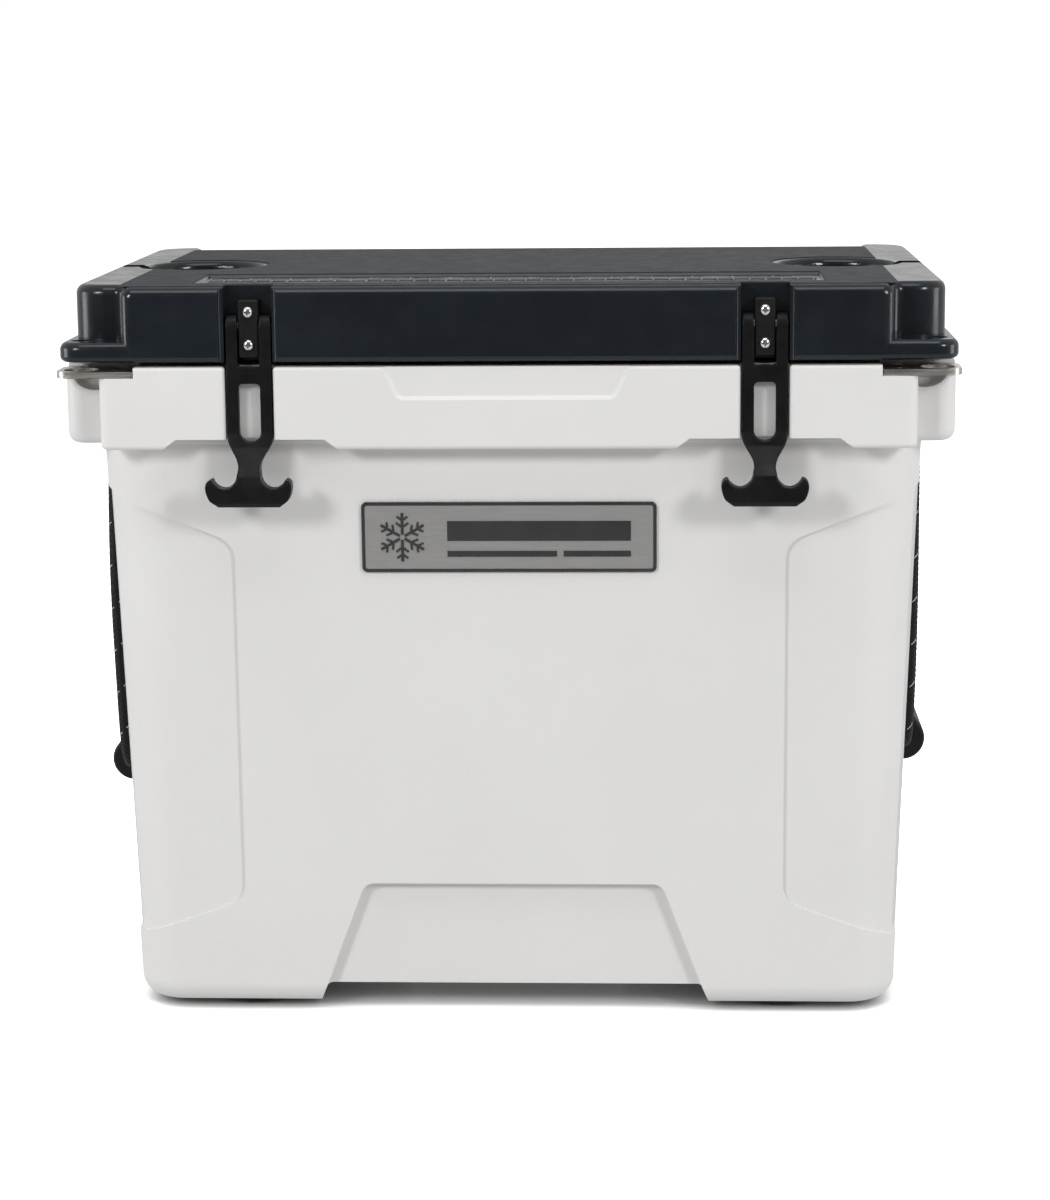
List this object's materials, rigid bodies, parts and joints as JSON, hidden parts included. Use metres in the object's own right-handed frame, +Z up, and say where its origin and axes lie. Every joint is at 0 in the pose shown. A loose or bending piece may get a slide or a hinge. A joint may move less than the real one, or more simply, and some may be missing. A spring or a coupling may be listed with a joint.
{
  "type": "cooler chest",
  "caption": "Rotomoulded insulated cooler chest with a hinged slate lid, T-handle rubber latches, steel lock plates and rope side handles.",
  "frame": {"origin": "on the floor under the middle of the chest's bounding box", "axes": "+X along the length to the viewer's right, -Y is the latched front, +Z up"},
  "size_m": [0.556, 0.386, 0.4705],
  "materials": {
    "white_shell": "satin rotomoulded polyethylene",
    "slate_lid": "semi-gloss rotomoulded polyethylene",
    "foam": "rigid polyurethane foam",
    "black_plastic": "moulded nylon",
    "latch_rubber": "satin moulded rubber",
    "grip_rubber": "moulded grip",
    "foot_rubber": "moulded rubber",
    "seal_rubber": "soft gasket",
    "steel": "brushed stainless steel",
    "chrome_screws": "polished stainless screws",
    "black_gloss": "gloss black",
    "nameplate_satin": "satin grey plate",
    "rope": "double-braid polyester with light tracer flecks"
  },
  "bodies": {
    "tub": {"body_shell": "white_shell", "body_liner": "white_shell", "body_foam": "foam", "drain_fitting": "black_plastic", "hinge_rod_left": "steel", "hinge_rod_right": "steel", "lock_plate_left": "steel", "lock_plate_right": "steel", "lock_plate_screws_left": "chrome_screws", "lock_plate_screws_right": "chrome_screws", "nameplate_bezel": "black_gloss", "nameplate_face": "nameplate_satin", "foot_front_left": "foot_rubber", "foot_front_right": "foot_rubber", "foot_rear_left": "foot_rubber", "foot_rear_right": "foot_rubber", "foot_screws": "chrome_screws", "rope_knots_left": "rope", "rope_knots_right": "rope"},
    "lid": {"lid_shell": "slate_lid", "lid_foam": "foam", "lid_gasket": "seal_rubber", "latch_bracket_left": "black_plastic", "latch_bracket_right": "black_plastic", "latch_pin_left": "steel", "latch_pin_right": "steel", "latch_screws_left": "chrome_screws", "latch_screws_right": "chrome_screws"},
    "latch_left": {"latch_left": "latch_rubber"},
    "latch_right": {"latch_right": "latch_rubber"},
    "handle_left": {"rope_left": "rope", "grip_left": "grip_rubber"},
    "handle_right": {"rope_right": "rope", "grip_right": "grip_rubber"},
    "drain_seal": {"drain_seal": "seal_rubber"},
    "drain_plug": {"drain_plug": "black_plastic"}
  },
  "joints": [
    {"name": "lid_hinge", "type": "hinge", "parent": "tub", "child": "lid", "pos_m": [0, 0.183, 0.4225], "axis": [-1, 0, 0], "range_deg": [0, 100]},
    {"name": "latch_left_pivot", "type": "hinge", "parent": "lid", "child": "latch_left", "pos_m": [-0.158, -0.1705, 0.446], "axis": [-1, 0, 0], "range_deg": [0, 120]},
    {"name": "latch_right_pivot", "type": "hinge", "parent": "lid", "child": "latch_right", "pos_m": [0.158, -0.1705, 0.446], "axis": [-1, 0, 0], "range_deg": [0, 120]},
    {"name": "handle_left_swing", "type": "hinge", "parent": "tub", "child": "handle_left", "pos_m": [-0.2595, 0, 0.365], "axis": [0, 1, 0], "range_deg": [0, 90]},
    {"name": "handle_right_swing", "type": "hinge", "parent": "tub", "child": "handle_right", "pos_m": [0.256, 0, 0.365], "axis": [0, -1, 0], "range_deg": [0, 90]},
    {"name": "drain_slide", "type": "slide", "parent": "tub", "child": "drain_seal", "axis": [-1, 0, 0], "range_m": [0, 0.009]},
    {"name": "drain_turn", "type": "hinge", "parent": "drain_seal", "child": "drain_plug", "pos_m": [-0.24, 0, 0.074], "axis": [-1, 0, 0], "range_deg": [0, 720]}
  ],
  "couplings": [
    {"joint": "drain_slide", "follows": "drain_turn", "m_per_rad": 0.00063662}
  ]
}
